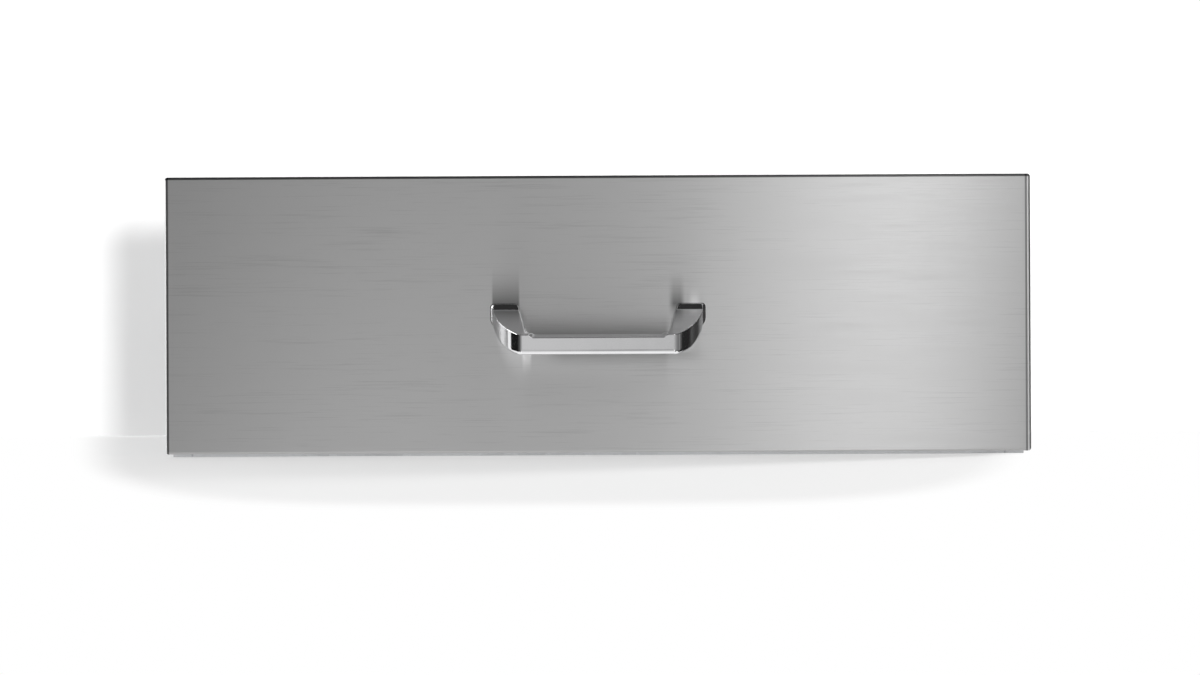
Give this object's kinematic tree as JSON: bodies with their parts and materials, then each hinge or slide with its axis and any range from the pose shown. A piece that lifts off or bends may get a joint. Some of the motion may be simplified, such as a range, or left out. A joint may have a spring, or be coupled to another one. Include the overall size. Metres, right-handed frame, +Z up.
{
  "type": "storage drawer unit",
  "caption": "Built-in kitchen storage drawer: brushed steel front with a chrome cast pull, a folded drawer box on telescopic ball-bearing slides, and a sheet-steel casing.",
  "frame": {"origin": "middle of the casing's flat underside", "axes": "+Z up, +X to the right seen from the front, -Y out of the front; the drawer opens along -Y"},
  "size_m": [0.759, 0.625, 0.246],
  "materials": {
    "front_steel": "stainless steel with level brushed grain",
    "pull_chrome": "polished chrome plate on a die casting",
    "liner_zinc": "galvanised sheet",
    "box_steel": "satin stainless sheet",
    "casing_zinc": "galvanised sheet with a fine spangle",
    "slide_zinc": "bright zinc plate, roll formed",
    "ball_steel": "polished bearing steel, lightly greased",
    "lever_plastic": "black moulded plastic",
    "fastener_zinc": "zinc plated screws",
    "bumper_rubber": "soft black rubber"
  },
  "bodies": {
    "casing": {"casing_base": "casing_zinc", "casing_top": "casing_zinc", "casing_back": "casing_zinc", "casing_side_left": "casing_zinc", "casing_side_right": "casing_zinc", "slide_outer_left": "slide_zinc", "slide_outer_right": "slide_zinc", "casing_slide_screws": "fastener_zinc", "front_bumpers": "bumper_rubber"},
    "drawer": {"front_skin": "front_steel", "front_liner": "liner_zinc", "front_stiffener": "liner_zinc", "handle": "pull_chrome", "handle_backing_plate": "liner_zinc", "handle_screws": "fastener_zinc", "front_screws": "fastener_zinc", "drawer_front_wall": "box_steel", "drawer_back_wall": "box_steel", "drawer_floor": "box_steel", "drawer_side_left": "box_steel", "drawer_side_right": "box_steel", "slide_inner_left": "slide_zinc", "slide_inner_right": "slide_zinc", "drawer_slide_screws": "fastener_zinc"},
    "middle_left": {"slide_middle_left": "slide_zinc"},
    "outer_cage_left": {"outer_cage_left": "slide_zinc", "outer_balls_left": "ball_steel"},
    "inner_cage_left": {"inner_cage_left": "slide_zinc", "inner_balls_left": "ball_steel"},
    "lever_left": {"release_lever_left": "lever_plastic"},
    "middle_right": {"slide_middle_right": "slide_zinc"},
    "outer_cage_right": {"outer_cage_right": "slide_zinc", "outer_balls_right": "ball_steel"},
    "inner_cage_right": {"inner_cage_right": "slide_zinc", "inner_balls_right": "ball_steel"},
    "lever_right": {"release_lever_right": "lever_plastic"}
  },
  "joints": [
    {"name": "drawer_slide", "type": "slide", "parent": "casing", "child": "drawer", "axis": [0, -1, 0], "range_m": [0, 0.48]},
    {"name": "middle_left_slide", "type": "slide", "parent": "casing", "child": "middle_left", "axis": [0, -1, 0], "range_m": [0, 0.24]},
    {"name": "outer_cage_left_slide", "type": "slide", "parent": "casing", "child": "outer_cage_left", "axis": [0, -1, 0], "range_m": [0, 0.12]},
    {"name": "inner_cage_left_slide", "type": "slide", "parent": "casing", "child": "inner_cage_left", "axis": [0, -1, 0], "range_m": [0, 0.36]},
    {"name": "lever_left_hinge", "type": "hinge", "parent": "drawer", "child": "lever_left", "pos_m": [-0.3488, -0.128, 0.075], "axis": [-1, 0, 0], "range_deg": [0, 8], "stiffness_Nm_per_rad": 0.02},
    {"name": "middle_right_slide", "type": "slide", "parent": "casing", "child": "middle_right", "axis": [0, -1, 0], "range_m": [0, 0.24]},
    {"name": "outer_cage_right_slide", "type": "slide", "parent": "casing", "child": "outer_cage_right", "axis": [0, -1, 0], "range_m": [0, 0.12]},
    {"name": "inner_cage_right_slide", "type": "slide", "parent": "casing", "child": "inner_cage_right", "axis": [0, -1, 0], "range_m": [0, 0.36]},
    {"name": "lever_right_hinge", "type": "hinge", "parent": "drawer", "child": "lever_right", "pos_m": [0.3488, -0.128, 0.075], "axis": [1, 0, 0], "range_deg": [0, 8], "stiffness_Nm_per_rad": 0.02}
  ],
  "couplings": [
    {"joint": "middle_left_slide", "follows": "drawer_slide", "ratio": 0.5},
    {"joint": "outer_cage_left_slide", "follows": "drawer_slide", "ratio": 0.25},
    {"joint": "inner_cage_left_slide", "follows": "drawer_slide", "ratio": 0.75},
    {"joint": "middle_right_slide", "follows": "drawer_slide", "ratio": 0.5},
    {"joint": "outer_cage_right_slide", "follows": "drawer_slide", "ratio": 0.25},
    {"joint": "inner_cage_right_slide", "follows": "drawer_slide", "ratio": 0.75}
  ]
}
